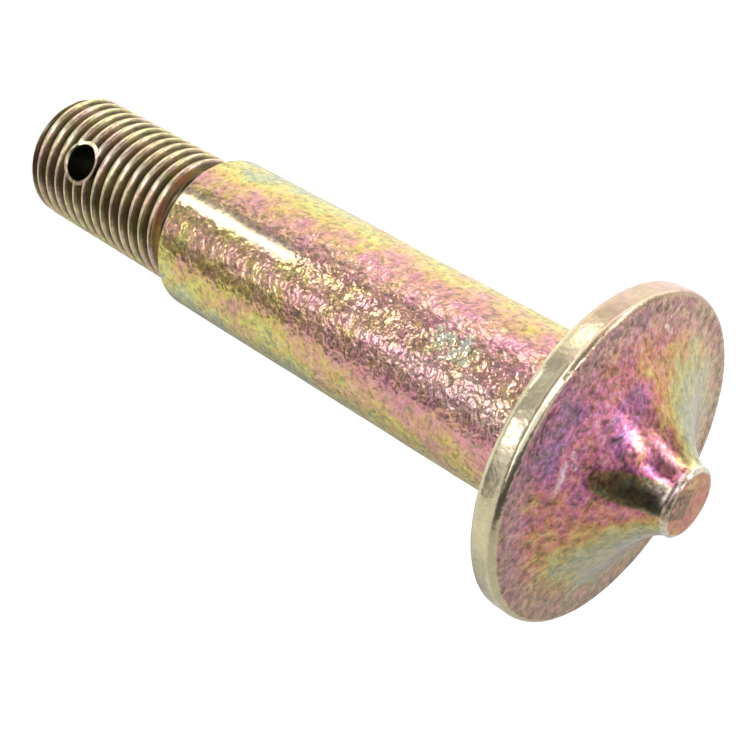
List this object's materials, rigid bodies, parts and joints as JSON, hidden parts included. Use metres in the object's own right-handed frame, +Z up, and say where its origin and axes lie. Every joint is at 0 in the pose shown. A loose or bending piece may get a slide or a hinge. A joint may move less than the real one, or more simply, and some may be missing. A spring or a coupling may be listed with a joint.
{
  "type": "sway bar link pin",
  "caption": "Headed steel link pin with a flanged, flared head, a round shank, and a threaded end cross-drilled for a split pin.",
  "frame": {"origin": "centre of the flat threaded end, which is the foot that the pin stands on", "axes": "+Z up the pin's axis, from the threaded foot to the nub on the head; the split-pin hole runs along Y"},
  "size_m": [0.0249, 0.0248, 0.0659],
  "materials": {
    "plated_steel": "forged and turned steel, zinc plated with a yellow chromate that shows pink, gold and green"
  },
  "bodies": {
    "root": {"link_pin": "plated_steel"}
  },
  "joints": []
}
